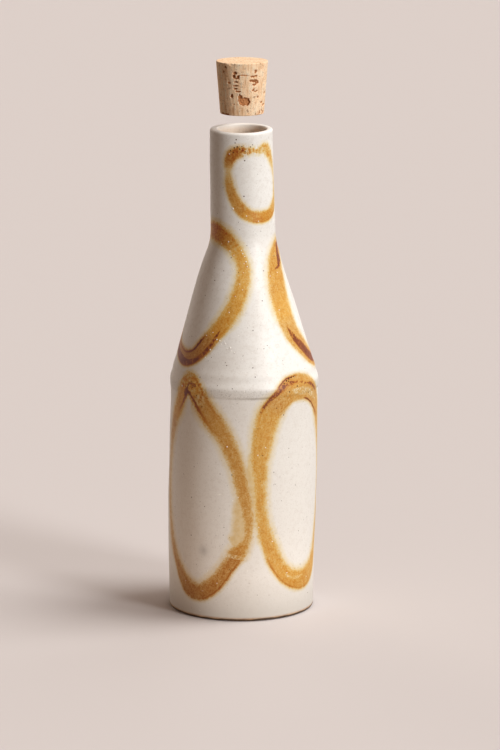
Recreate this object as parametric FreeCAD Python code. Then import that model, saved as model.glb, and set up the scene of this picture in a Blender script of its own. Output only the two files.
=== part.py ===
"""A wheel-thrown stoneware bottle with a tapered cork stopper, modelled in millimetres.

The bottle is one fired clay piece. It stands on a trimmed foot ring, swells slightly at the belly,
and is widest at a low ridge where the body meets the cone of the shoulder. A nearly straight neck
ends in a soft, rounded lip round a straight throat. The stopper is a tapered plug of natural cork,
drawn out of the throat: it stands just above the mouth, on the neck's own line.

+Z is up. The origin is the centre of the foot, on the surface that the bottle stands on.
"""

import FreeCAD, Part
import math
import os

from FreeCAD import Vector

# Bottle, up its height
ridge_height = 120.0
shoulder_rise = 73.8
neck_length = 56.2

# Body: its radius at the waist under the ridge, and how far the rest stands out from it or draws in
body_radius = 38.05
body_wall = 4.8
foot_draw_in = 0.6
foot_edge_ease = 1.3
belly_height = 66.0
belly_swell = 0.5
belly_ease = 26.0
waist_drop = 14.0
waist_ease = 5.0

# The ridge that the potter's rib left between body and shoulder
ridge_swell = 0.72
ridge_drop = 3.4
ridge_foot_share = 0.3
ridge_ease = 1.6

# Shoulder: a cone that bows out very slightly, with one low throwing ring just above the ridge
shoulder_swell = 0.15
shoulder_start_rise = 2.0
shoulder_wall = 4.4
inner_shoulder_ease = 7.0
bow_rise = 46.0
bow_swell = 0.32
bow_ease = 18.0
ring_rise = 12.0
ring_half_width = 3.2
ring_swell = 0.22
ring_ease = 1.7

# Neck: a straight throat for the cork, and a wall that thins towards the lip
throat_radius = 12.5
throat_root_ease = 4.0
mouth_ease = 1.6
neck_root_wall = 4.1
neck_root_ease = 5.0
lip_wall = 3.55
lip_ease = 1.4

# Floor and foot ring
floor_thickness = 6.5
floor_corner_ease = 9.0
foot_ring_width = 6.0
foot_ring_ease = 0.8
recess_depth = 1.6
recess_slope = 1.5
recess_ease = 0.7

# Cork: its small end passes the throat freely, and its large end is too big for it
cork_length = 27.0
cork_entry_clearance = 1.35
cork_oversize = 0.75
cork_edge_ease = 0.45
cork_lift = 8.5
cork_seat_clearance = 0.1

# One deep scoop in the cork's side, where a soft pocket of bark has fallen out
scoop_radius = 2.6
scoop_depth = 1.4
scoop_direction = -86.0
scoop_height_share = 0.27

# A chip out of the cork's upper edge
chip_radius = 1.8
chip_depth = 0.7
chip_direction = -117.0

# Lenticels, the short pores that run level round the cork
lenticel_radius = 0.4
lenticel_length = 2.0
lenticel_depth = 0.55
# Each one's direction round the cork in degrees, and its height as a share of the cork's length
lenticel_shares = [
    (-104.0, 0.74),
    (-103.0, 0.59),
    (-104.0, 0.52),
    (-103.0, 0.45),
    (-63.0, 0.79),
    (-62.0, 0.60),
    (-64.0, 0.47),
    (14.0, 0.33),
    (52.0, 0.68),
    (97.0, 0.50),
    (141.0, 0.24),
    (176.0, 0.62),
]

# An eased corner takes up at most this share of each side that it joins
most_ease_share = 0.46

# Heights and radii that follow from the sizes above
neck_root_height = ridge_height + shoulder_rise
bottle_height = neck_root_height + neck_length
neck_root_radius = throat_radius + neck_root_wall
shoulder_start_radius = body_radius + shoulder_swell
shoulder_slope = (shoulder_start_radius - neck_root_radius) / (shoulder_rise - shoulder_start_rise)
cork_bottom_radius = throat_radius - cork_entry_clearance
cork_top_radius = throat_radius + cork_oversize


def eased_corner(before, corner, after, ease):
    """The start, middle and end of the tangent arc that rounds a corner.

    The ease is the distance from the corner at which the rounding starts."""
    back = before - corner
    ahead = after - corner
    ease = min(ease, most_ease_share * back.Length, most_ease_share * ahead.Length)
    back.normalize()
    ahead.normalize()
    half_angle = back.getAngle(ahead) / 2
    inwards = back + ahead
    inwards.normalize()
    radius = ease * math.tan(half_angle)
    centre = corner + inwards * (ease / math.cos(half_angle))
    return corner + back * ease, centre - inwards * radius, corner + ahead * ease


def turned_solid(outline):
    """A solid of revolution about Z, from corners given as radius, height and ease.

    The outline starts and ends on the axis, with the clay or cork on its left."""
    corners = [Vector(radius, 0, height) for radius, height, _ in outline]
    edges = []
    pen = corners[0]
    for index in range(1, len(outline) - 1):
        ease = outline[index][2]
        start, middle, end = eased_corner(corners[index - 1], corners[index], corners[index + 1], ease)
        edges.append(Part.LineSegment(pen, start).toShape())
        edges.append(Part.Arc(start, middle, end).toShape())
        pen = end
    edges.append(Part.LineSegment(pen, corners[-1]).toShape())
    edges.append(Part.LineSegment(corners[-1], corners[0]).toShape())
    half_section = Part.Face(Part.Wire(edges))
    return half_section.revolve(Vector(0, 0, 0), Vector(0, 0, 1), 360)


def shoulder_radius(height):
    """The outside of the shoulder, as a straight cone."""
    return neck_root_radius + shoulder_slope * (neck_root_height - height)


def inner_shoulder_height(radius):
    """Where the inside of the shoulder has this radius: it runs one wall in from the cone, square to it."""
    inner_root_radius = neck_root_radius - shoulder_wall * math.hypot(1, shoulder_slope)
    return neck_root_height - (radius - inner_root_radius) / shoulder_slope


def throwing_ring():
    """The three corners of the low ring that stands out from the cone above the ridge."""
    middle = ridge_height + ring_rise
    low = middle - ring_half_width
    high = middle + ring_half_width
    return [
        (shoulder_radius(low), low, ring_ease),
        (shoulder_radius(middle) + ring_swell, middle, ring_ease),
        (shoulder_radius(high), high, ring_ease),
    ]


def bottle_body():
    """The thrown bottle: foot, belly, ridge, shoulder, neck and lip outside, and one hollow inside."""
    foot_radius = body_radius - foot_draw_in
    foot_ring_inner_radius = foot_radius - foot_ring_width
    inner_radius = body_radius - body_wall
    underside = [
        (0, recess_depth, 0),
        (foot_ring_inner_radius - recess_slope, recess_depth, recess_ease),
        (foot_ring_inner_radius, 0, foot_ring_ease),
        (foot_radius, 0, foot_edge_ease),
    ]
    body = [
        (body_radius + belly_swell, belly_height, belly_ease),
        (body_radius, ridge_height - waist_drop, waist_ease),
        (body_radius + ridge_foot_share * ridge_swell, ridge_height - ridge_drop, ridge_ease),
        (body_radius + ridge_swell, ridge_height, ridge_ease),
    ]
    shoulder = [(shoulder_start_radius, ridge_height + shoulder_start_rise, ridge_ease)] + throwing_ring()
    bow_height = ridge_height + bow_rise
    shoulder += [(shoulder_radius(bow_height) + bow_swell, bow_height, bow_ease)]
    neck = [
        (neck_root_radius, neck_root_height, neck_root_ease),
        (throat_radius + lip_wall, bottle_height, lip_ease),
    ]
    inside = [
        (throat_radius, bottle_height, mouth_ease),
        (throat_radius, inner_shoulder_height(throat_radius), throat_root_ease),
        (inner_radius, inner_shoulder_height(inner_radius), inner_shoulder_ease),
        (inner_radius, floor_thickness, floor_corner_ease),
        (0, floor_thickness, 0),
    ]
    return turned_solid(underside + body + shoulder + neck + inside)


def cork_radius(height_share):
    """The cork's radius at a share of its length up from its small end."""
    return cork_bottom_radius + height_share * (cork_top_radius - cork_bottom_radius)


def turned_to(shape, direction):
    """A copy of a shape that was made facing +X, turned round the cork to face a direction in degrees."""
    turned = shape.copy()
    turned.rotate(Vector(0, 0, 0), Vector(0, 0, 1), direction)
    return turned


def scoop():
    """The ball that leaves the deep scoop, sunk into the cork's side by the scoop's depth."""
    surface = cork_radius(scoop_height_share)
    centre = Vector(surface + scoop_radius - scoop_depth, 0, scoop_height_share * cork_length)
    return turned_to(Part.makeSphere(scoop_radius, centre), scoop_direction)


def chip():
    """The ball that takes a bite out of the upper edge, from outside and above in equal parts."""
    reach = (chip_radius - chip_depth) / math.sqrt(2)
    centre = Vector(cork_top_radius + reach, 0, cork_length + reach)
    return turned_to(Part.makeSphere(chip_radius, centre), chip_direction)


def lenticel(direction, height_share):
    """A short round slot that lies level along the surface."""
    out = cork_radius(height_share) + lenticel_radius - lenticel_depth
    start = Vector(out, -lenticel_length / 2, height_share * cork_length)
    slot = Part.makeCylinder(lenticel_radius, lenticel_length, start, Vector(0, 1, 0))
    return turned_to(slot, direction)


def cork_stopper():
    """The tapered cork with its natural pits, standing just above the mouth."""
    plug = turned_solid(
        [
            (0, 0, 0),
            (cork_bottom_radius, 0, cork_edge_ease),
            (cork_top_radius, cork_length, cork_edge_ease),
            (0, cork_length, 0),
        ]
    )
    pits = [scoop(), chip()]
    pits += [lenticel(direction, height_share) for direction, height_share in lenticel_shares]
    plug = plug.cut(pits).Solids[0]
    plug.translate(Vector(0, 0, bottle_height + cork_lift))
    return plug


def seat_travel():
    """How far the cork goes down from where it stands here until it closes the throat."""
    taper = (cork_top_radius - cork_bottom_radius) / cork_length
    length_in_throat = (cork_entry_clearance - cork_seat_clearance) / taper
    return cork_lift + mouth_ease + length_in_throat


pieces = {
    "bottle_body": bottle_body(),
    "cork_stopper": cork_stopper(),
}

os.makedirs("parts", exist_ok=True)
for name, shape in pieces.items():
    if not shape.isValid():
        raise ValueError(name + " isn't a valid solid")
    shape.exportStep("parts/" + name + ".step")
    print(name, "takes", round(shape.Volume), "cubic mm of material")
print("the cork goes down", round(seat_travel(), 3), "mm to its seat")
print("the throat starts at height", round(inner_shoulder_height(throat_radius) + throat_root_ease, 2))
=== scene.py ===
"""A thrown stoneware bottle, its glaze and brushed iron rings, and its cork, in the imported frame."""

import math

import bpy
import numpy as np
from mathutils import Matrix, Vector, noise


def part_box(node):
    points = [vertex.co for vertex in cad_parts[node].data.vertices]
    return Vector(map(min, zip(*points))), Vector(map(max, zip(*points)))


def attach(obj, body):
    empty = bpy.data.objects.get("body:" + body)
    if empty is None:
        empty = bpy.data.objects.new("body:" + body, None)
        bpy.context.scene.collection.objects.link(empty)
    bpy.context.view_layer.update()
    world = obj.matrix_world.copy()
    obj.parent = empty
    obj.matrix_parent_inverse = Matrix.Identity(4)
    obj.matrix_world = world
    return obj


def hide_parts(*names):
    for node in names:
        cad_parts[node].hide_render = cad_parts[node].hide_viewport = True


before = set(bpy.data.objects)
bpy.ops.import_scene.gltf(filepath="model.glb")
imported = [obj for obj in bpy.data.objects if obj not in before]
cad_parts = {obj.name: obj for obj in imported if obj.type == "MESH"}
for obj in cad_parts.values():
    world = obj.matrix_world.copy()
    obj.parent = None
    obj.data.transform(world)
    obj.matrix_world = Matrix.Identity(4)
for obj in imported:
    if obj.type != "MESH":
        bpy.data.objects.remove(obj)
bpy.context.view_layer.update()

mm = 0.001

# The bottle is one wall of stoneware clay. It was thrown on a wheel in one pull from the floor to the
# lip, and its foot was trimmed when the clay was leather-hard, so that underside, outside, lip and hollow
# are one closed skin. The outside wanders a little off the wheel's axis, and the lip dips to the front.

bottle_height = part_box("bottle_body")[1].z / mm

# The rim rose a little higher than the part's plain lip, and its far side is the higher one
rim_rise = 0.7
rim_height = bottle_height + rim_rise
rim_tilt = 0.4

# Radius, height and ease of each corner, in mm, and how far apart the rows are from there on.
# The ease is where the rounding starts, away from the corner
outside_corners = [
    (0, 1.6, 0, 4),
    (29.95, 1.6, 0.7, 1),
    (31.45, 0, 0.8, 1),
    (37.45, 0, 1.3, 1),
    (38.55, 66, 26, 1),
    (38.0, 106, 5, 1),
    (38.12, 117.2, 0.5, 0.5),
    (38.3, 117.9, 0.5, 0.8),
    (38.32, 121.9, 1.9, 0.8),
    (37.0, 125.5, 1.2, 1),
    (36.5, 128.3, 1.1, 1),
    (35.3, 131.4, 1.4, 1),
    (34.43, 134.5, 1.7, 1),
    (25.28, 166, 18, 1),
    (16.6, 193.8, 5, 1),
    (16.05, rim_height, 1.15, 1),
]
hollow_corners = [
    (12.66, rim_height, 0.85, 2.5),
    (12.5, 242, 2, 4),
    (12.5, 192.16, 4, 4),
    (33.25, 123.18, 7, 4),
    (33.25, 6.5, 9, 4),
    (0, 6.5, 0, 4),
]
most_ease_share = 0.46
arc_steps = 6

# How far the outside stands to the right of the axis, in mm, by height in mm
lean_of_the_wall = [
    (0, -0.5), (33, -0.45), (58, 0.0), (82, 0.57), (100, 0.82), (113, 1.1), (125, 1.0), (150, 0.55),
    (168, 0.12), (180, -0.05), (190, 0.4), (208, 0.26), (238, -0.4), (rim_height, -0.4),
]
lean_to_the_back_share = -0.4


def eased(before, corner, after, ease):
    """Points on the arc that rounds a corner of an outline."""
    back = before - corner
    ahead = after - corner
    ease = min(ease, most_ease_share * back.length, most_ease_share * ahead.length)
    pull = math.sin(back.angle(ahead) / 2)
    start = corner + back.normalized() * ease
    end = corner + ahead.normalized() * ease
    points = []
    for step in range(arc_steps + 1):
        t = step / arc_steps
        weights = ((1 - t) ** 2, 2 * t * (1 - t) * pull, t * t)
        points.append((start * weights[0] + corner * weights[1] + end * weights[2]) / sum(weights))
    return points


def outline(corners):
    """The points of an eased outline, filled up to the spacing that each corner asks for."""
    ends = [Vector(corner[:2]) for corner in corners]
    points = [(ends[0], corners[0][3])]
    for index in range(1, len(corners) - 1):
        arc = eased(ends[index - 1], ends[index], ends[index + 1], corners[index][2])
        points += [(point, corners[index][3]) for point in arc]
    points.append((ends[-1], 1))
    filled = [ends[0]]
    for (before, spacing), (after, _) in zip(points, points[1:]):
        parts = max(1, math.ceil((after - before).length / spacing))
        filled += [before.lerp(after, part / parts) for part in range(1, parts + 1)]
    return filled


def through(knots, values, wanted):
    """A smooth run through given values, read at the wanted places along it."""
    slope = np.gradient(values, knots, axis=0)
    at = np.clip(np.searchsorted(knots, wanted, side="right") - 1, 0, len(knots) - 2)
    span = knots[at + 1] - knots[at]
    t = (wanted - knots[at]) / span
    if values.ndim == 2:
        t = t[:, None]
        span = span[:, None]
    start = (1 + 2 * t) * (1 - t) ** 2 * values[at] + t * (1 - t) ** 2 * span * slope[at]
    return start + t * t * (3 - 2 * t) * values[at + 1] + t * t * (t - 1) * span * slope[at + 1]


def put(tree, kind, values=(), out=0, **settings):
    """Adds a node to a tree, with its settings and its inputs, and returns one of its outputs.

    The inputs are in order, or by name. Each is a number, a colour or another node's output."""
    node = tree.nodes.new(kind)
    for name, value in settings.items():
        setattr(node, name, value)
    pairs = values.items() if isinstance(values, dict) else enumerate(values)
    for name, value in pairs:
        if isinstance(value, bpy.types.NodeSocket):
            tree.links.new(value, node.inputs[name])
        elif value is not None:
            node.inputs[name].default_value = value
    return node.outputs[out]


def calc(tree, operation, *numbers):
    """A Math node."""
    return put(tree, "ShaderNodeMath", numbers, operation=operation)


def times(tree, first, *others):
    """All the numbers multiplied."""
    for other in others:
        first = calc(tree, "MULTIPLY", first, other)
    return first


def plus(tree, first, *others):
    """All the numbers added."""
    for other in others:
        first = calc(tree, "ADD", first, other)
    return first


def swing(tree, value, amount):
    """A noise of 0 to 1, made to swing to both sides of 0 by an amount."""
    return times(tree, calc(tree, "SUBTRACT", value, 0.5), amount)


def between(tree, value, low, high):
    """0 below low and 1 above high, with a soft step from one to the other."""
    inputs = {"Value": value, "From Min": low, "From Max": high}
    return put(tree, "ShaderNodeMapRange", inputs, interpolation_type="SMOOTHSTEP")


def parts_of(tree, vector):
    """The X, Y and Z of a vector."""
    put(tree, "ShaderNodeSeparateXYZ", [vector])
    return tree.nodes[-1].outputs


def new_tree(name, sizes):
    """A new tree that makes a shape, with one named input for each size.

    Returns it with its inputs and its output."""
    tree = bpy.data.node_groups.new(name, "GeometryNodeTree")
    tree.interface.new_socket("Geometry", in_out="INPUT", socket_type="NodeSocketGeometry")
    tree.interface.new_socket("Geometry", in_out="OUTPUT", socket_type="NodeSocketGeometry")
    for size, kind in sizes.items():
        tree.interface.new_socket(size, in_out="INPUT", socket_type="NodeSocket" + kind)
    return tree, tree.nodes.new("NodeGroupInput").outputs, tree.nodes.new("NodeGroupOutput").inputs[0]


# The clay swells in places about 1/45 m wide, but not near the foot. The lip dips over its last tenth
swells_per_metre = 45
even_below = 1.5 * mm
uneven_above = 9 * mm
dips_from_share = 0.9


def turning_tree():
    """Turns a half section round the wheel's axis, with throwing rings, swells and a dipping lip."""
    sizes = {"Steps Round": "Int", "Ring Depth": "Float", "Ring Pitch": "Float", "Unevenness": "Float"}
    sizes |= {"Lip Dip": "Float", "Height": "Float", "Seed": "Float", "Surface": "Material"}
    tree, given, result = new_tree("turned on the wheel", sizes)
    section = given["Geometry"]
    rows = put(tree, "GeometryNodeAttributeDomainSize", [section])
    columns = calc(tree, "ADD", given["Steps Round"], 1)
    grid = put(tree, "GeometryNodeMeshGrid", [1, 1, columns, rows])
    across, up, _ = parts_of(tree, put(tree, "GeometryNodeInputPosition"))
    turn = times(tree, plus(tree, across, 0.5), math.tau)
    row = calc(tree, "ROUND", times(tree, plus(tree, up, 0.5), calc(tree, "SUBTRACT", rows, 1)))

    def from_section(value, kind):
        inputs = {"Geometry": section, "Value": value, "Index": row}
        return put(tree, "GeometryNodeSampleIndex", inputs, data_type=kind)

    def noted(name):
        return from_section(put(tree, "GeometryNodeInputNamedAttribute", [name]), "FLOAT")

    place_in_section = from_section(put(tree, "GeometryNodeInputPosition"), "FLOAT_VECTOR")
    radius, _, height = parts_of(tree, place_in_section)
    skin = noted("skin")
    lean = noted("lean")
    right = calc(tree, "SINE", turn)
    front = calc(tree, "COSINE", turn)

    # The fingers' rings climb the wall as a screw thread does, and the clay swells here and there
    climb = plus(tree, times(tree, calc(tree, "DIVIDE", height, given["Ring Pitch"]), math.tau), turn)
    thread = times(tree, calc(tree, "SINE", climb), given["Ring Depth"])
    place = [times(tree, radius, right), times(tree, radius, front), height]
    place = put(tree, "ShaderNodeCombineXYZ", place)
    swell = {"Vector": place, "W": given["Seed"], "Scale": swells_per_metre, "Detail": 1}
    swell = put(tree, "ShaderNodeTexNoise", swell, noise_dimensions="4D")
    swell = swing(tree, swell, given["Unevenness"])
    above_foot = between(tree, height, even_below, uneven_above)
    radius = plus(tree, radius, times(tree, plus(tree, thread, swell), skin, above_foot))

    x = plus(tree, times(tree, radius, right), lean)
    y = plus(tree, times(tree, radius, front, -1), times(tree, lean, lean_to_the_back_share))
    near_lip = between(tree, calc(tree, "DIVIDE", height, given["Height"]), dips_from_share, 1)
    z = plus(tree, height, times(tree, near_lip, front, given["Lip Dip"], -1))
    kept = {"Geometry": grid, "Name": "skin", "Value": skin}
    noted_grid = put(tree, "GeometryNodeStoreNamedAttribute", kept, data_type="FLOAT")
    moved = {"Geometry": noted_grid, "Position": put(tree, "ShaderNodeCombineXYZ", [x, y, z])}
    turned = put(tree, "GeometryNodeSetPosition", moved)
    turned = put(tree, "GeometryNodeMergeByDistance", {"Geometry": turned, "Distance": 0.01 * mm})
    turned = put(tree, "GeometryNodeRealizeInstances", [turned])
    surfaced = {"Geometry": turned, "Material": given["Surface"]}
    tree.links.new(put(tree, "GeometryNodeSetMaterial", surfaced), result)
    return tree


def half_section(name, rows, skin, lean):
    """The turned wall's half section as a line of points, with the skin and the lean noted on each."""
    mesh = bpy.data.meshes.new(name)
    points = [(point.x * mm, 0, point.y * mm) for point in rows]
    mesh.from_pydata(points, [(index, index + 1) for index in range(len(points) - 1)], [])
    for note, values in (("skin", skin), ("lean", lean)):
        mesh.attributes.new(note, "FLOAT", "POINT").data.foreach_set("value", np.array(values, np.float32))
    section = bpy.data.objects.new(name, mesh)
    bpy.context.collection.objects.link(section)
    return section


def run_tree(tree, start, name, sizes):
    """Runs a tree on an object, and returns the result as a plain mesh object in its place."""
    modifier = start.modifiers.new(tree.name, "NODES")
    modifier.node_group = tree
    for item in tree.interface.items_tree:
        if item.in_out == "INPUT" and item.name in sizes:
            modifier[item.identifier] = sizes[item.name]
    evaluated = start.evaluated_get(bpy.context.evaluated_depsgraph_get())
    mesh = bpy.data.meshes.new_from_object(evaluated)
    start.modifiers.remove(modifier)
    bpy.data.objects.remove(start)
    mesh.name = name
    made = bpy.data.objects.new(name, mesh)
    bpy.context.collection.objects.link(made)
    return made


# The skin is 1 outside and 0 in the hollow, and fades over the lip. In mm: the radius and height from which
# the wall is the throat's, how deep the lip goes, the radius at which the skin has gone, and its fade
inside_radius = 12.75
inside_height = 200
lip_depth = 2
skin_end_radius = 13
skin_fade = 3


def skin_at(point):
    """The skin at a point of the outline's outer run."""
    if point.y <= rim_height - lip_depth:
        return 1.0
    return min(1.0, max(0.0, (point.x - skin_end_radius) / skin_fade))


wall_rows = outline(outside_corners + hollow_corners)
first_inside = next(
    index for index, point in enumerate(wall_rows) if point.y > inside_height and point.x < inside_radius
)
outside_rows = wall_rows[:first_inside]
skins = [skin_at(point) for point in outside_rows] + [0.0] * (len(wall_rows) - first_inside)
lean_height, lean_right = np.array(lean_of_the_wall).T
row_heights = np.clip([point.y for point in wall_rows], 0, rim_height)
leans = through(lean_height, lean_right, row_heights) * np.array(skins) * mm

glaze = bpy.data.materials.new("glazed stoneware")
turned_on_the_wheel = turning_tree()
clay_wall = {"Steps Round": 228, "Ring Depth": 0.008 * mm, "Ring Pitch": 4.6 * mm, "Unevenness": 0.5 * mm}
clay_wall |= {"Lip Dip": rim_tilt * mm, "Height": bottle_height * mm, "Seed": 3.0, "Surface": glaze}
wall_section = half_section("bottle half section", wall_rows, skins, leans)
bottle = run_tree(turned_on_the_wheel, wall_section, "thrown_bottle", clay_wall)
bottle.data.shade_smooth()
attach(bottle, "bottle")
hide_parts("bottle_body")

# The rings are iron oxide in water, brushed over the raw glaze in single closed strokes, in three tiers.
# In the kiln the iron sinks into the glaze and stains it as a dye does: ochre where it is thin, brown and
# purple where it pools, with a pale yellow halo round it. No two rings match.

# Each ring's touches: degrees round from the front, + to the right; height and half width in mm; iron
body_left_ring = [
    (-47, 124.2, 4.7, 0.76), (-41, 121, 5.2, 0.76), (-35, 115.5, 5.4, 0.76), (-28, 109, 5.4, 0.70),
    (-21, 103.8, 4.9, 0.68), (-14.3, 97.8, 4.1, 0.68), (-8, 89, 3.8, 0.68), (-3.3, 81, 3.3, 0.68),
    (0, 72, 3.2, 0.68), (3, 62, 3.0, 0.68), (5.2, 52.5, 2.1, 0.66), (2.7, 42, 2.1, 0.64),
    (-3.6, 36.2, 3.9, 0.84), (-10, 29.6, 3.4, 0.82), (-17, 23.2, 3.8, 0.84), (-25, 17.6, 4.0, 0.86),
    (-34, 13.9, 3.9, 0.88), (-44.5, 14.7, 4.3, 0.88), (-53.3, 19.9, 3.4, 0.74), (-61, 27.5, 2.3, 0.72),
    (-69, 38, 2.0, 0.6), (-74.5, 52, 2.0, 0.46), (-76.5, 66, 2.2, 0.4), (-76, 80, 2.2, 0.42),
    (-72, 93, 2.7, 0.56), (-65.7, 104, 3.5, 0.68), (-58.5, 111.5, 3.8, 0.74), (-53.5, 118.5, 4.0, 0.78),
]
body_right_ring = [
    (51, 121, 6.7, 0.66), (39.3, 120.5, 6.8, 0.68), (31, 116.2, 6.0, 0.70), (22.5, 110, 5.9, 0.70),
    (18, 102, 5.6, 0.69), (15.5, 93, 4.9, 0.68), (13.4, 84, 4.2, 0.66), (13.8, 74, 3.1, 0.65),
    (14, 63, 2.7, 0.65), (15.6, 53, 2.9, 0.66), (18.3, 46, 3.4, 0.68), (22, 38.8, 3.7, 0.70),
    (27, 30.8, 4.0, 0.70), (34.6, 24, 4.2, 0.72), (43, 20.3, 4.7, 0.74), (52, 18.6, 5.0, 0.74),
    (61.5, 19.2, 5.2, 0.72), (70, 22.5, 4.7, 0.66), (78, 30.5, 3.6, 0.6), (84, 45, 2.7, 0.5),
    (86.5, 60, 2.4, 0.46), (86.5, 76, 2.4, 0.46), (84, 90, 2.9, 0.52), (79.5, 101, 3.6, 0.6),
    (75, 108, 4.3, 0.66), (68.5, 114.5, 5.4, 0.62), (60.5, 119, 6.2, 0.64),
]
shoulder_left_ring = [
    (-63, 199, 4.3, 1.2), (-46, 198.2, 4.4, 1.2), (-31, 196.2, 4.0, 1.05), (-20, 193.7, 3.5, 0.85),
    (-9, 190, 3.0, 0.74), (-3, 186.7, 2.9, 0.71), (1.5, 182, 3.0, 0.68), (1, 176, 3.3, 0.69),
    (-2.5, 170, 3.6, 0.71), (-8.7, 163, 3.8, 0.74), (-15.6, 157, 3.9, 0.78), (-23, 151.7, 4.0, 0.84),
    (-30.5, 146.9, 4.3, 0.80), (-38, 141.8, 4.5, 0.84), (-47, 136.8, 4.3, 0.86), (-57, 134.8, 4.3, 0.86),
    (-70, 136, 4.0, 0.80), (-85, 140, 3.6, 0.72), (-98, 149, 3.5, 0.66), (-107, 161, 3.2, 0.64),
    (-111, 173, 3.0, 0.64), (-109, 184, 2.8, 0.66), (-100, 193, 3.2, 0.70), (-82, 198.5, 3.8, 0.78),
]
shoulder_right_ring = [
    (98, 190.5, 3.8, 0.74), (84, 190.5, 4.2, 0.70), (72, 188.5, 4.8, 0.68), (63, 184.7, 5.6, 0.7),
    (56, 178.7, 6.1, 0.71), (51, 171, 6.1, 0.71), (50.2, 164, 6.2, 0.7), (51.2, 158, 6.1, 0.68),
    (53, 152.6, 6.0, 0.61), (57.5, 146.3, 5.8, 0.63), (66, 140.3, 5.5, 0.65), (76, 134.5, 5.0, 0.70),
    (88, 131.5, 4.5, 0.76), (101, 133, 4.2, 0.76), (113, 137, 4.0, 0.72), (124, 144, 3.8, 0.68),
    (135, 153, 3.6, 0.64), (142, 162, 3.3, 0.62), (145, 171, 3.0, 0.62), (143, 179, 2.8, 0.64),
    (134, 186, 2.9, 0.66), (117, 190, 3.3, 0.70),
]
neck_ring = [
    (11, 241.3, 1.8, 0.78), (22, 241.4, 1.2, 0.55), (33, 241.3, 1.4, 0.52), (47, 242.0, 2.4, 0.74),
    (57.5, 239.8, 2.3, 0.68), (67, 235.7, 1.9, 0.56), (76.5, 230, 1.4, 0.3), (81, 222, 1.3, 0.3),
    (79, 215, 1.9, 0.56), (70, 210.9, 2.6, 0.74), (57, 208, 2.7, 0.84), (41, 206.9, 2.8, 0.86),
    (24, 207.1, 2.8, 0.86), (10, 208.6, 2.8, 0.84), (-1.5, 211.2, 2.9, 0.80), (-10.5, 214.6, 2.7, 0.76),
    (-19.3, 219.6, 2.5, 0.78), (-24.3, 225.8, 2.1, 0.62), (-25.6, 231.3, 1.7, 0.3),
    (-24.3, 235.8, 2.3, 0.95), (-18.5, 239, 2.8, 1.12), (-8, 240.7, 2.6, 1.1),
]


def turned(ring, by, wider=1.0, taller=1.0):
    """A ring like one of those in front, brushed elsewhere round the bottle."""
    angles, heights, widths, iron = np.array(ring).T
    middle = (angles.min() + angles.max()) / 2
    level = (heights.min() + heights.max()) / 2
    angles = middle + by + (angles - middle) * wider
    heights = level + (heights - level) * taller
    return np.array([angles, heights, widths, iron]).T


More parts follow.
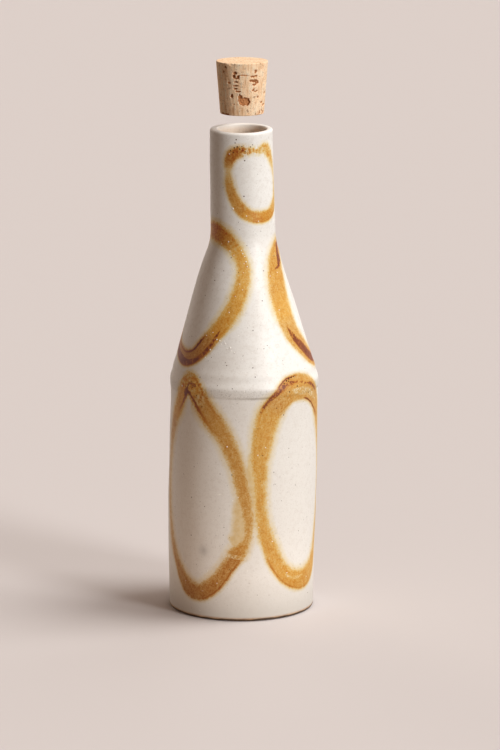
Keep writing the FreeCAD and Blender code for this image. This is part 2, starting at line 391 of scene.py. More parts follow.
# What the iron does along each ring, from one touch to another, counted from 0, and how strongly. A line
# is a dark band along the stroke's inner or outer edge. A wash is a thin yellow veil beside it, and the
# stronger it is, the further it reaches. Both thin out towards their second touch. Dry clay drank the iron
# in spots, burnt iron is brown instead of yellow, and a crisp edge fades over less clay. A run is iron that
# ran together: its touches each have a side, from -1 inside the ring to +1 outside, and a half width as a
# share of the stroke's. A gap is where the iron ran away instead. Each ring's first number is how crisp it is
rings = [
    (body_left_ring, 1.0, [
        ("inner line", 0.2, 4.8, 1.1), ("inner line", 27.9, 25, 1.1), ("inner line", -0.6, 1.4, 0.8),
        ("outer line", 0.8, 5, 0.35), ("dry", 27.0, 30, 1.0), ("burnt", 2, 11, 0.4),
        ("burnt", 12.8, 24.5, 0.6), ("crisp", -1.5, 1.2, 0.5), ("inner wash", 4, 8, 0.25),
        ("inner wash", 11.3, 7.2, 0.95), ("outer wash", 8.8, 6.2, 0.9), ("dry", 12.9, 14.4, 0.3),
        ("outer line", 13, 18, 0.4), ("burnt", 11.9, 12.1, 0.4), ("crisp outside", 12.6, 19, 1.2),
        ("run", [
            (-1.5, -0.8, 0), (-0.95, -0.84, 0.5), (-0.35, -0.55, 0.2), (0.3, -0.1, 0.1), (0.8, 0.3, 0.2),
            (1.1, 0.4, 0),
        ]),
        ("gap", [
            (11.9, 1.3, 0), (12.05, 0.9, 0.5), (12.25, 0, 0.75), (12.45, -0.95, 0.75), (12.7, -1.6, 0),
        ]),
    ]),
    (body_right_ring, 1.0, [
        ("inner line", 25.9, 22.6, 1.3), ("crisp", -2.5, 1.8, 1.1), ("outer line", 1.4, 0.9, 1.0),
        ("outer wash", 8.4, 4.2, 0.95), ("dry", 1, 3.4, 0.3), ("outer line", 12, 18, 0.3),
        ("crisp outside", 11, 19, 1.1), ("burnt", -2, 2.5, 0.3),
        ("run", [
            (3.5, 0.9, 0), (3.0, 0.86, 0.16), (2.4, 0.82, 0.2), (1.8, 0.7, 0.2), (1.3, 0.58, 0.17),
            (1.0, 0.5, 0.14), (0.6, 0.44, 0.09), (0.2, 0.4, 0.02), (-0.3, 0.36, 0.07), (-0.6, 0.4, 0.02),
            (-1.1, 0.5, 0.14), (-1.7, 0.62, 0.1), (-2.2, 0.75, 0.03), (-3.0, 0.8, 0),
        ]),
        ("gap", [
            (1.5, -0.1, 0), (0.9, -0.15, 0.2), (0.2, -0.32, 0.25), (-0.7, -0.24, 0.32), (-1.6, -0.12, 0.3),
            (-2.7, 0, 0),
        ]),
        ("gap", [
            (12.7, -0.1, 0), (13.5, -0.1, 0.13), (14.2, -0.15, 0.17), (15, -0.45, 0.15), (15.7, -0.5, 0),
        ]),
    ]),
    (shoulder_left_ring, 1.1, [
        ("burnt", -3, 3.2, 0.2), ("burnt", 12.4, 18, 0.6), ("inner line", 13.4, 12, 0.9),
        ("crisp", 12, 17, 0.6), ("inner line", 13, 19, 0.9), ("outer line", -2, 3, 0.3),
        ("dry", 1.5, 4, 0.4), ("crisp outside", 11, 17, 0.8),
        ("run", [
            (11.0, 0.2, 0), (11.6, 0.36, 0.16), (12.3, 0.52, 0.2), (13.0, 0.6, 0.22), (13.8, 0.57, 0.27),
            (14.7, 0.55, 0.34), (15.6, 0.4, 0.5), (17, 0.3, 0.5), (18.6, 0.2, 0),
        ]),
    ]),
    (shoulder_right_ring, 1.1, [
        ("run", [
            (8.0, 0.34, 0), (8.5, 0.27, 0.12), (8.9, 0.2, 0.27), (9.6, 0.12, 0.4), (10.4, 0.05, 0.5),
            (11.6, 0, 0.6), (13.8, 0, 0),
        ]),
        ("run", [
            (0.7, 0.4, 0), (1.4, 0.2, 0.34), (2.0, -0.2, 0.4), (2.6, -0.48, 0.42), (3.1, -0.52, 0.3),
            (3.5, -0.4, 0.18), (3.8, 0, 0.14), (3.95, 0.35, 0),
        ]),
        ("burnt", 1, 5, 0.15), ("burnt", 8, 14, 0.3), ("crisp outside", 8, 13, 0.6),
    ]),
    (neck_ring, 1.7, [
        ("dry", 21.8, 23.4, 1.0), ("dry", 23.6, 27, 0.45), ("dry", 19.6, 21.6, 0.4),
        ("burnt", 18.8, 21.8, 0.6), ("dry", 1.4, 4.5, 0.5), ("burnt", 14, 18, 0.35),
        ("inner wash", 17, 13, 0.3), ("outer line", 9, 14, 0.2), ("crisp outside", 9, 16, 0.8),
    ]),
    (turned(body_left_ring, 172, 0.98, 0.97), 1.0, [
        ("inner line", 0, 6, 0.8), ("run", [(13, 0.2, 0), (15, 0.4, 0.2), (17, 0.5, 0.25), (19, 0.3, 0)]),
        ("burnt", 10, 24, 0.8), ("dry", 26.5, 29.5, 0.8),
    ]),
    (turned(body_right_ring, 173, 1.08, 1.02), 1.0, [
        ("outer line", 1, 5, 0.8), ("inner wash", 6, 11, 0.8), ("dry", 25, 27.6, 0.7),
    ]),
    (turned(shoulder_right_ring, 101, 0.9), 1.1, [
        ("run", [(8, 0.2, 0), (10, 0.1, 0.25), (12, 0.1, 0.3), (14, 0.2, 0)]), ("burnt", 9, 14, 0.5),
    ]),
    (turned(neck_ring, 178, 1.05, 0.95), 1.7, [("dry", 3, 7, 0.7), ("burnt", 18, 22, 0.4)]),
]
iron_kinds = ["run", "run side", "burnt", "inner line", "outer line", "dry", "gap", "gap side"]
iron_kinds += ["inner wash", "outer wash"]

# In mm: how closely a ring is followed, how far it reaches, and how softly two rings meet
touch_spacing = 0.5
reach_of_a_ring = 14.0
ring_blend = 0.7

# In touches: how soon an effect is at full strength, and how far a run goes past its ends. A line or a wash
# fades over this share of its length
ramp_in_touches = 0.8
run_margin = 0.5
tail_share = 0.8

# Inside this radius and below this height, in mm, the outline is the foot ring and the recess
foot_edge = 37
foot_top = 20
side_rows = [point for point in outside_rows if point.x > foot_edge or point.y > foot_top]
outside_heights = np.array([point.y for point in side_rows])
outside_radii = np.array([point.x for point in side_rows])


def radius_at(height):
    """The outside's radius at a height, in mm."""
    return np.interp(height, outside_heights, outside_radii)


def on_the_wall(angle, height):
    """Places on the outside, in mm, from degrees round from the front and heights."""
    radius = radius_at(height)
    turn = np.radians(angle)
    return np.stack([radius * np.sin(turn), -radius * np.cos(turn), height], 1)


def stretch(kind, number, count, first, last):
    """1 between two touches of a ring and 0 beyond them. Lines and washes have a long tail."""
    way = 1 if last > first else -1
    length = abs(last - first)
    past = (way * (number - first) + ramp_in_touches) % count - ramp_in_touches
    tail = ramp_in_touches
    if kind.endswith(("line", "wash")):
        tail = max(ramp_in_touches, tail_share * length)
    rise = np.clip(1 + past / ramp_in_touches, 0, 1)
    fall = np.clip((length - past) / tail + (tail == ramp_in_touches), 0, 1)
    share = np.minimum(rise, fall)
    return share * share * (3 - 2 * share)


def run_along(number, count, knots):
    """The side and the half width of a run or a gap at each place along a ring, and where it counts."""
    touches, sides, widths = np.array(sorted(knots)).T
    spare = (count - (touches[-1] - touches[0])) / 2
    past = (number - touches[0] + spare) % count + touches[0] - spare
    counts = (past > touches[0] - run_margin) & (past < touches[-1] + run_margin)
    return np.interp(past, touches, sides), np.interp(past, touches, widths), counts


# Places are measured against a ring in this many batches, to save memory
batches = 40


def brush_ring(ring, crispness, effects, places, angles):
    """What one ring leaves on each place, and how much it counts there against the other rings.

    It is how far inside the stroke's edge the place is, its side, the iron, its place along the stroke and
    across it, and then each kind of effect."""
    count = len(ring)
    touches = np.array(list(ring) * 3, float)
    steps = np.diff(touches, axis=0)
    run = np.hypot(np.radians(steps[:, 0]) * radius_at(touches[1:, 1]), steps[:, 1])
    knots = np.concatenate([[0], np.cumsum(run)])
    start, end = knots[count], knots[2 * count]
    wanted = np.arange(start, end, touch_spacing)
    track = through(knots, touches, wanted)
    number = np.interp(wanted, knots, np.arange(len(knots))) - count
    angle, height, half, iron = track.T
    next_angle, next_height = np.roll(track, -1, 0)[:, :2].T
    way_round = -np.sign(np.sum(angle * next_height - next_angle * height))
    centre = on_the_wall(angle, height)
    ahead = np.roll(track, -1, 0)[:, :2] - np.roll(track, 1, 0)[:, :2]
    ahead[:, 0] = np.radians(ahead[:, 0]) * radius_at(height)
    near = np.zeros(len(places), int)
    gap = np.full(len(places), reach_of_a_ring)
    beyond = np.maximum(height.min() - places[:, 2], places[:, 2] - height.max())
    close = np.flatnonzero(beyond < reach_of_a_ring)
    for some in np.array_split(close, batches):
        apart = (places[some] ** 2).sum(1)[:, None] - 2 * places[some] @ centre.T + (centre**2).sum(1)
        near[some] = apart.argmin(1)
        gap[some] = np.sqrt(np.maximum(apart.min(1), 0))
    aside = np.radians((angles - angle[near] + 180) % 360 - 180) * radius_at(places[:, 2])
    above = places[:, 2] - height[near]
    outward = way_round * np.sign(ahead[near, 0] * above - ahead[near, 1] * aside)
    loop = 2 * np.pi * number / count
    length = (end - start) / (2 * np.pi)
    left = {kind: np.zeros(len(track)) for kind in iron_kinds}
    crisp = np.full(len(track), crispness)
    crisp_outside = np.zeros(len(track))
    for kind, *how in effects:
        if kind in ("run", "gap"):
            side, width, counts = run_along(number, count, how[0])
            left[kind] = np.where(counts, width, left[kind])
            left[kind + " side"] = np.where(counts, side, left[kind + " side"])
        else:
            first, last, strength = how
            added = strength * stretch(kind, number, count, first, last)
            if kind == "crisp":
                crisp += added
            elif kind == "crisp outside":
                crisp_outside += added
            else:
                left[kind] += added
    along = np.stack([iron, length * np.cos(loop), length * np.sin(loop)] + list(left.values()), 1)[near]
    edge = (half[near] - gap) * (crisp[near] + crisp_outside[near] * (outward > 0))
    on_stroke = [edge, outward * gap / half[near], along[:, 0], along[:, 1], along[:, 2], outward * gap]
    share = np.where(gap < reach_of_a_ring, np.exp(edge / ring_blend), 0)[:, None]
    return np.concatenate([np.stack(on_stroke, 1), along[:, 3:]], 1), share


vertex_count = len(bottle.data.vertices)
places = np.empty(vertex_count * 3, np.float32)
bottle.data.vertices.foreach_get("co", places)
places = places.reshape(-1, 3).astype(float) / mm
skin = np.empty(vertex_count, np.float32)
bottle.data.attributes["skin"].data.foreach_get("value", skin)
angles = np.degrees(np.arctan2(places[:, 0], -places[:, 1]))

# Away from every ring a place is far outside the nearest stroke and on its outer side
values_on_stroke = 6
far_side = 3
weight = math.exp(-reach_of_a_ring / ring_blend)
total = np.zeros((vertex_count, values_on_stroke + len(iron_kinds)))
total[:, 0] = -reach_of_a_ring * weight
total[:, 1] = far_side * weight
for ring, crispness, effects in rings:
    left, share = brush_ring(ring, crispness, effects, places, angles)
    total += share * left
    weight = weight + share
brushed = total / weight
brushed[:, 0] = np.where(skin > 0.5, brushed[:, 0], -reach_of_a_ring)

# Bare clay shows on the foot ring and in its recess, wiped clean so that the bottle doesn't stick in the
# kiln. The ridge and the lip are marked for the glaze's colour there: painted shade under the ridge, and a
# pale lip with a painted highlight. The hollow counts as far above
foot_wipe = 1.5
wipe_fade = 0.5
recess_top = 2.2
ridge_height = 120
far_above = 50
lip_half_width = 1.0
bare = np.clip((foot_wipe + wipe_fade - places[:, 2]) / wipe_fade, 0, 1)
underneath = (places[:, 2] < recess_top) & (np.hypot(places[:, 0], places[:, 1]) < foot_edge)
bare = np.where(underneath, 1, bare)
above_ridge = np.where(skin > 0.5, places[:, 2] - ridge_height, far_above)
lip_pale_and_lit = np.exp(-(((places[:, 2] - rim_height) / lip_half_width) ** 2))

# Painted shade makes the glaze greyer towards the foot, and a fine line of painted shade runs under the
# ridge's edge, mostly right of the front. A finger left a grey smudge low on the left. The line is by degrees
# round from the front
foot_shade_top = 24
foot_shade_curve = 1.1
foot_shade = np.clip(1 - places[:, 2] / foot_shade_top, 0, 1) ** foot_shade_curve
shade_line_angles = [-180, -120, -60, -12, 0, 8, 24, 40, 75, 120, 180]
shade_line_strengths = [0.2, 0.6, 0.1, 0.05, 0.6, 1.0, 0.9, 0.3, 0.6, 0.1, 0.2]
ridge_shade_line = np.interp(angles, shade_line_angles, shade_line_strengths)
smudge_angle = -31.5
smudge_height = 36.5
smudge_size = 2.6
body_radius = 38
beside_smudge = np.radians(angles - smudge_angle) * body_radius
to_smudge = np.hypot(beside_smudge, places[:, 2] - smudge_height)
smudge = np.exp(-((to_smudge / smudge_size) ** 2))


def note(mesh, name, *values):
    """Keeps one to three numbers on each vertex, for a material to read."""
    columns = list(values) + [np.zeros(len(mesh.vertices))] * (3 - len(values))
    numbers = np.stack(columns, 1).astype(np.float32).ravel()
    mesh.attributes.new(name, "FLOAT_VECTOR", "POINT").data.foreach_set("vector", numbers)


note(bottle.data, "stroke", *brushed[:, 0:3].T)
note(bottle.data, "brush", *brushed[:, 3:6].T)
note(bottle.data, "runs", *brushed[:, 6:9].T)
note(bottle.data, "lines", *brushed[:, 9:12].T)
note(bottle.data, "gaps", *brushed[:, 12:14].T, foot_shade)
note(bottle.data, "wash", *brushed[:, 14:16].T, skin)
note(bottle.data, "clay", bare, above_ridge, lip_pale_and_lit)
note(bottle.data, "marks", ridge_shade_line, smudge)


def linear(red, green, blue):
    """A colour as a screen shows it, 0 to 255, turned to what a shader takes."""
    channels = []
    for value in (red, green, blue):
        share = value / 255
        channels.append(share / 12.92 if share < 0.04045 else ((share + 0.055) / 1.055) ** 2.4)
    return channels + [1.0]


def blend(tree, factor, first, second, mode="MIX"):
    """A Mix node for colours."""
    node_inputs = {0: factor, 6: first, 7: second}
    return put(tree, "ShaderNodeMix", node_inputs, out=2, data_type="RGBA", blend_type=mode)


def mottle(tree, place, scale, detail=2.0, roughness=0.5):
    """Noise from 0 to 1, in marks of one scale-th of a metre."""
    inputs = {"Vector": place, "Scale": scale, "Detail": detail, "Roughness": roughness}
    return put(tree, "ShaderNodeTexNoise", inputs)


def specks(tree, place, scale, size, chance):
    """Round specks, one at most in each cell of one scale-th of a metre."""
    gap = put(tree, "ShaderNodeTexVoronoi", {"Vector": place, "Scale": scale, "Randomness": 1.0})
    luck = parts_of(tree, tree.nodes[-1].outputs["Color"])[0]
    spot = calc(tree, "SUBTRACT", 1, between(tree, gap, size * 0.5, size))
    return times(tree, spot, calc(tree, "LESS_THAN", luck, chance))


def colour_steps(tree, value, steps):
    """A ramp of colours."""
    put(tree, "ShaderNodeValToRGB", [value])
    ramp = tree.nodes[-1].color_ramp
    while len(ramp.elements) < len(steps):
        ramp.elements.new(0.5)
    for element, (position, colour) in zip(ramp.elements, steps):
        element.position = position
        element.color = colour
    return tree.nodes[-1].outputs[0]


def noted_on(tree, name):
    """Reads the three numbers kept on the vertices under a name."""
    return parts_of(tree, put(tree, "ShaderNodeAttribute", out=1, attribute_name=name))


def stained(tree, ground, depth, burnt):
    """A ground seen through a depth of iron stain. One layer keeps these shares of red, green and blue."""
    kept = blend(tree, burnt, (0.895, 0.694, 0.355, 1), (0.765, 0.575, 0.36, 1))
    shares = [calc(tree, "POWER", share, depth) for share in parts_of(tree, kept)]
    return blend(tree, 1.0, ground, put(tree, "ShaderNodeCombineXYZ", shares), "MULTIPLY")


def make_glaze(material):
    """Satin white glaze over iron-speckled clay, with the iron of the brushed rings in it."""
    material.use_nodes = True
    tree = material.node_tree
    surface = tree.nodes["Principled BSDF"]
    place = put(tree, "ShaderNodeTexCoord", out=3)
    edge, side, iron = noted_on(tree, "stroke")
    run, run_side, burnt = noted_on(tree, "runs")
    inner_line, outer_line, dry = noted_on(tree, "lines")
    inner_wash, outer_wash, skin = noted_on(tree, "wash")
    gap, gap_side, foot_shade = noted_on(tree, "gaps")
    bare, above_ridge, lip = noted_on(tree, "clay")
    ridge_shade_line, smudge = noted_on(tree, "marks")[:2]
    clouds = mottle(tree, place, 38, 3)
    wobble = mottle(tree, place, 210, 2)
    fine = mottle(tree, place, 420, 3)
    grain = mottle(tree, place, 1300, 3, 0.6)
    blotch = plus(tree, times(tree, mottle(tree, place, 640, 3), 0.6), times(tree, fine, 0.4))

    # White glaze, a little creamier in clouds and greyer in fine marks, with specks of iron from the clay
    white = blend(tree, between(tree, clouds, 0.35, 0.65), linear(237, 233, 227), linear(242, 239, 234))
    # Painted shade: below the ridge the glaze is painted a little darker
    body_painted_shade = between(tree, above_ridge, 4, -6)
    white = blend(tree, times(tree, body_painted_shade, 0.95), white, linear(232, 227, 220))
    # Painted shade: the hollow's wall is painted warmer, for the bounced light inside it
    white = blend(tree, calc(tree, "SUBTRACT", 1, skin), white, linear(233, 215, 196))
    white = blend(tree, times(tree, between(tree, fine, 0.45, 0.75), 0.3), white, linear(214, 205, 195))
    white = blend(tree, times(tree, between(tree, grain, 0.48, 0.3), 0.25), white, linear(190, 180, 168))
    large_specks = specks(tree, place, 190, 0.09, 0.10)
    small_specks = specks(tree, place, 520, 0.17, 0.09)
    white = blend(tree, times(tree, large_specks, 0.75), white, linear(98, 80, 66))
    white = blend(tree, times(tree, small_specks, 0.4), white, linear(120, 104, 88))

    # Under the ridge's edge the glaze is greyed by painted shade and is speckled, down to a fine dark line of
    # painted shade
    height = plus(tree, above_ridge, swing(tree, wobble, 1.5))
    shade_under_edge = times(tree, between(tree, height, 2.6, 0.9), between(tree, height, -4.2, -1.8))
    off_stroke = between(tree, edge, 2.0, -1.0)
    edge_specks = between(tree, plus(tree, grain, times(tree, fine, 0.5)), 0.76, 0.62)
    grey = plus(tree, times(tree, edge_specks, 0.2), 0.2)
    white = blend(tree, times(tree, shade_under_edge, grey, off_stroke), white, linear(160, 150, 138))
    # A fine line of painted shade under the ridge's edge
    line_below_ridge = 2.5
    fine_shade_line = calc(tree, "ABSOLUTE", plus(tree, above_ridge, swing(tree, wobble, 0.8), line_below_ridge))
    fine_shade_line = times(tree, between(tree, fine_shade_line, 1.0, 0.1), ridge_shade_line)
    white = blend(tree, times(tree, fine_shade_line, off_stroke, 0.4), white, linear(130, 115, 98))
    white = blend(tree, times(tree, smudge, 0.35), white, linear(120, 112, 110))
    # Painted shade: the glaze greys towards the foot
    white = blend(tree, foot_shade, white, linear(190, 185, 178))

    # The stroke's stain: full inside its edge, thinning over 3 mm and ending in a faint yellow halo
    grainy = swing(tree, grain, 1.3)
    edge_here = plus(tree, edge, swing(tree, wobble, 1.2), grainy)
    full = between(tree, edge_here, -1.6, 1.9)
    halo = between(tree, edge_here, -4.6, 0.3)
    layer = plus(tree, times(tree, full, 0.78), times(tree, halo, 0.22))
    along_stroke = put(tree, "ShaderNodeAttribute", out=1, attribute_name="brush")
    brush = put(tree, "ShaderNodeVectorMath", [along_stroke, (0.16, 0.16, 0.9)], operation="MULTIPLY")
    streak = mottle(tree, brush, 1.0, 3)
    strength = plus(tree, swing(tree, streak, 0.7), swing(tree, fine, 0.7), swing(tree, grain, 1.9), 1.0)
    drunk = times(tree, dry, between(tree, blotch, 0.48, 0.6), 0.62)
    spotted = times(tree, dry, between(tree, blotch, 0.47, 0.38), 0.9)
    strength = times(tree, strength, plus(tree, spotted, calc(tree, "SUBTRACT", 1, drunk)))
    stain_layers = 3.4
    depth = times(tree, iron, stain_layers, layer, strength)

    # A wash of strength 1 reaches this many mm past the stroke's edge, as this many layers of stain
    wash_reach = 7.5
    wash_layers = 0.95
    inside = calc(tree, "LESS_THAN", side, 0)
    outside = calc(tree, "SUBTRACT", 1, inside)
    wash = plus(tree, times(tree, inner_wash, inside), times(tree, outer_wash, outside))
    washed = between(tree, plus(tree, edge_here, times(tree, wash, wash_reach)), -1.4, 2.4)
    washed = times(tree, washed, calc(tree, "MINIMUM", times(tree, wash, 2), 1.0))
    washed = times(tree, washed, plus(tree, swing(tree, fine, 0.8), swing(tree, grain, 0.6), 1.0))
    depth = calc(tree, "MAXIMUM", depth, times(tree, washed, wash_layers))

    # Dark bands along the stroke's edges, and runs and gaps, where the iron flowed together and away
    band_inside_edge = 1.7
    gap_strength = 0.72
    gathered_layers = 3.0
    off_band = calc(tree, "ABSOLUTE", plus(tree, edge_here, swing(tree, fine, 1.5), -band_inside_edge))
    band = between(tree, off_band, 1.4, 0.2)
    band = times(tree, band, plus(tree, times(tree, inner_line, inside), times(tree, outer_line, outside)))
    middle = calc(tree, "ABSOLUTE", calc(tree, "SUBTRACT", side, run_side))
    middle = plus(tree, middle, swing(tree, fine, 0.35), swing(tree, grain, 0.5))
    dark_run = between(tree, calc(tree, "SUBTRACT", run, middle), -0.09, 0.07)
    clumps = plus(tree, between(tree, blotch, 0.42, 0.56), times(tree, run, 2))
    dark_run = times(tree, dark_run, between(tree, run, 0.01, 0.05), between(tree, edge_here, -1, 1))
    dark_run = times(tree, dark_run, calc(tree, "MINIMUM", clumps, 1.0))
    off_gap = calc(tree, "ABSOLUTE", calc(tree, "SUBTRACT", side, gap_side))
    in_gap = between(tree, plus(tree, gap, times(tree, off_gap, -1), swing(tree, fine, 0.5)), -0.1, 0.1)
    crazed = between(tree, plus(tree, times(tree, blotch, 0.4), times(tree, grain, 0.6)), 0.44, 0.56)
    in_gap = times(tree, in_gap, between(tree, gap, 0.01, 0.05), crazed)
    depth = times(tree, depth, calc(tree, "SUBTRACT", 1, times(tree, in_gap, gap_strength)))
    gathered = calc(tree, "MAXIMUM", dark_run, band)
    added = times(tree, gathered, plus(tree, swing(tree, blotch, 5.0), gathered_layers))
    depth = plus(tree, depth, added)
    burnt = calc(tree, "MINIMUM", calc(tree, "MAXIMUM", burnt, gathered), 1.0)
    colour = stained(tree, white, depth, burnt)
    colour = blend(tree, times(tree, dark_run, 0.14), colour, linear(126, 70, 58))

    # The clay is bare at the foot, with a painted contact shadow over the lowest mm. The lip is painted
    # palest, where the glaze thins and as a painted highlight
    clay = blend(tree, between(tree, fine, 0.3, 0.7), linear(196, 164, 130), linear(160, 126, 94))
    contact_shade_from = 1.5 - ridge_height
    contact_shade_full = 1.0 - ridge_height
    # Painted contact shadow on the lowest mm of the foot
    contact_shade = between(tree, plus(tree, above_ridge, swing(tree, wobble, 1.5)), contact_shade_from, contact_shade_full)
    clay = blend(tree, times(tree, contact_shade, 0.9), clay, linear(56, 40, 30))
    # The lip's paler thin glaze, with a painted highlight on it
    colour = blend(tree, times(tree, lip, 0.8), colour, linear(250, 248, 244))
    colour = blend(tree, bare, colour, clay)
    tree.links.new(colour, surface.inputs["Base Color"])

    gloss = plus(tree, times(tree, fine, 0.16), times(tree, bare, 0.4), 0.36)
    tree.links.new(gloss, surface.inputs["Roughness"])
    surface.inputs["Specular IOR Level"].default_value = 0.36
    relief = plus(tree, times(tree, mottle(tree, place, 900, 2), 0.4), times(tree, wobble, 0.6))
    relief = calc(tree, "SUBTRACT", relief, times(tree, large_specks, 0.6))
    relief = plus(tree, relief, times(tree, dry, blotch, full, 0.8))
    bump = put(tree, "ShaderNodeBump", {"Strength": 0.25, "Distance": 0.25 * mm, "Height": relief})
    tree.links.new(bump, surface.inputs["Normal"])


make_glaze(glaze)

# Tiny blisters in the glaze, where gas came through it, and grains of iron that melted through from the
# clay. They are part of the fired skin, thickest beside the strokes, and no larger than a pinhead.


def bead_tree():
    """Sets a flattened ball on each point, lying on the wall."""
    tree, given, result = new_tree("beads in the glaze", {"Flatness": "Float", "Surface": "Material"})
    ball = put(tree, "GeometryNodeMeshIcoSphere", [1.0, 2])
    facing = put(tree, "GeometryNodeInputNamedAttribute", ["facing"], data_type="FLOAT_VECTOR")
    size = put(tree, "GeometryNodeInputNamedAttribute", ["size"], data_type="FLOAT")
    turn = put(tree, "FunctionNodeAlignRotationToVector", {"Vector": facing}, axis="Z")
    scale = put(tree, "ShaderNodeCombineXYZ", [size, size, times(tree, size, given["Flatness"])])
    balls = {"Points": given["Geometry"], "Instance": ball, "Rotation": turn, "Scale": scale}
    balls = put(tree, "GeometryNodeRealizeInstances", [put(tree, "GeometryNodeInstanceOnPoints", balls)])
    surfaced = {"Geometry": balls, "Material": given["Surface"]}
    tree.links.new(put(tree, "GeometryNodeSetMaterial", surfaced), result)
    return tree


def lay_beads(name, spots, form):
    """Beads at degrees round from the front and heights in mm, each with its own size."""
    outside = np.flatnonzero(skin > 0.5)
    normals = np.empty(vertex_count * 3, np.float32)
    bottle.data.vertices.foreach_get("normal", normals)
    normals = normals.reshape(-1, 3)
    points = []
    facing = []
    for angle, height, size in spots:
        across = np.radians((angles[outside] - angle + 180) % 360 - 180) * radius_at(height)
        nearest = outside[np.argmin(np.hypot(across, places[outside, 2] - height))]
        here = on_the_wall([angles[nearest], angle], np.array([places[nearest, 2], height]))
        points.append((places[nearest] + here[1] - here[0]) * mm)
        facing.append(normals[nearest])
    mesh = bpy.data.meshes.new(name)
    mesh.from_pydata([tuple(point) for point in points], [], [])
    mesh.attributes.new("facing", "FLOAT_VECTOR", "POINT").data.foreach_set("vector", np.ravel(facing))
    sizes_in_m = np.array([size for _, _, size in spots], np.float32) * mm
    mesh.attributes.new("size", "FLOAT", "POINT").data.foreach_set("value", sizes_in_m)
    start = bpy.data.objects.new(name, mesh)
    bpy.context.collection.objects.link(start)
    beads = run_tree(beads_in_the_glaze, start, name, form)
    beads.data.shade_smooth()
    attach(beads, "bottle")


def plain_finish(name, colour, roughness):
    """A material that is the same all over."""
    material = bpy.data.materials.new(name)
    material.use_nodes = True
    surface = material.node_tree.nodes["Principled BSDF"]
    surface.inputs["Base Color"].default_value = colour
    surface.inputs["Roughness"].default_value = roughness
    surface.inputs["Specular IOR Level"].default_value = 0.5 - roughness / 2
    return material


# Degrees round from the front, + to the right; height and size in mm
blisters = [
    (-16.5, 211.8, 0.5), (-24, 194.6, 0.4), (-11.5, 92.5, 0.4), (-54.4, 120.9, 0.45), (18, 91.8, 0.3),
    (-17.5, 67.2, 0.35), (-18.7, 67.0, 0.25), (-16.4, 67.4, 0.25), (-24.5, 146.3, 0.35), (-21.5, 145.9, 0.4),
    (-19.5, 144.2, 0.3), (-16, 144.6, 0.4), (-13.8, 142.3, 0.3), (-10.8, 142.7, 0.45), (-9.8, 141.1, 0.25),
    (-7.2, 140.4, 0.35), (-12, 144.0, 0.2), (-17, 145.7, 0.25), (-12, 181, 0.3), (41, 177, 0.3),
    (57, 178, 0.3), (1, 189, 0.35), (4, 187.5, 0.3), (6, 185, 0.35), (-1, 190.5, 0.3), (3, 184, 0.25),
    (7.5, 182.5, 0.3), (-20.5, 190, 0.3), (-13, 188, 0.25), (-3, 174, 0.25), (-8, 168, 0.25),
    (-14, 160, 0.3), (-30, 141, 0.35), (-34, 137, 0.3), (44, 160, 0.3), (3, 130, 0.2), (1.5, 121.5, 0.3),
    (12, 88, 0.3), (20, 63, 0.3), (13, 50, 0.25), (-3, 66, 0.25), (24, 42, 0.3), (-28, 26, 0.3),
    (-20, 20, 0.25), (4, 27, 0.25), (38, 24, 0.3), (8, 208, 0.3), (30, 205, 0.3),
]
iron_grains = [
    (-10.5, 247.2, 0.35), (5, 236.5, 0.35), (3.5, 218.2, 0.35), (-17, 186.8, 0.28), (-38, 175, 0.28),
    (24, 165.5, 0.28), (15.8, 87.8, 0.3), (-13, 134, 0.28), (9, 133, 0.28), (10.5, 128.5, 0.28),
    (-36, 127, 0.28), (-8.5, 243.5, 0.45), (-14, 243, 0.4), (-4, 242.4, 0.4), (-16, 240.5, 0.35),
    (0, 243.8, 0.3), (-21, 241.5, 0.35), (6, 241, 0.3), (-12.5, 245.5, 0.3), (16, 243.4, 0.3),
    (36.5, 125.3, 0.45), (39, 126.1, 0.5), (41.5, 126.6, 0.45), (44.5, 126.8, 0.4), (34, 124.2, 0.4),
    (38.5, 125, 0.35), (46, 121.9, 0.4), (38, 119.7, 0.35), (27, 112, 0.3), (60, 117, 0.3),
    (33, 108, 0.3), (-46, 117, 0.35), (-50, 121, 0.3), (-42, 121.5, 0.35), (-38, 117.5, 0.35),
    (-44, 124, 0.3), (-33, 112, 0.3), (-9, 27, 0.25), (-30, 60, 0.25), (-14, 50, 0.22),
    (-40, 80, 0.22), (45, 70, 0.2), (38, 90, 0.2), (50, 45, 0.22),
]
lowest_bead = 4
highest_bead = 246
beads_random = np.random.default_rng(5)


def scattered(count, smallest, largest):
    """Spots all over the outside, by chance."""
    spots = []
    for _ in range(count):
        angle = beads_random.uniform(-180, 180)
        height = beads_random.uniform(lowest_bead, highest_bead)
        spots.append((angle, height, beads_random.uniform(smallest, largest)))
    return spots


beads_in_the_glaze = bead_tree()
blister_glaze = plain_finish("blistered glaze", linear(244, 240, 232), 0.3)
iron_glaze = plain_finish("iron grains", linear(86, 54, 32), 0.9)
blister_form = {"Flatness": 0.55, "Surface": blister_glaze}
grain_form = {"Flatness": 0.25, "Surface": iron_glaze}
lay_beads("glaze_blisters", blisters + scattered(90, 0.12, 0.28), blister_form)
lay_beads("iron_grains", iron_grains + scattered(230, 0.1, 0.22), grain_form)

# The stopper is a plug of natural cork, cut on the taper from bark, so its grain runs up and down it and
# the bark's pores cross it as short level pits. A soft pocket has fallen out of its side low in front.

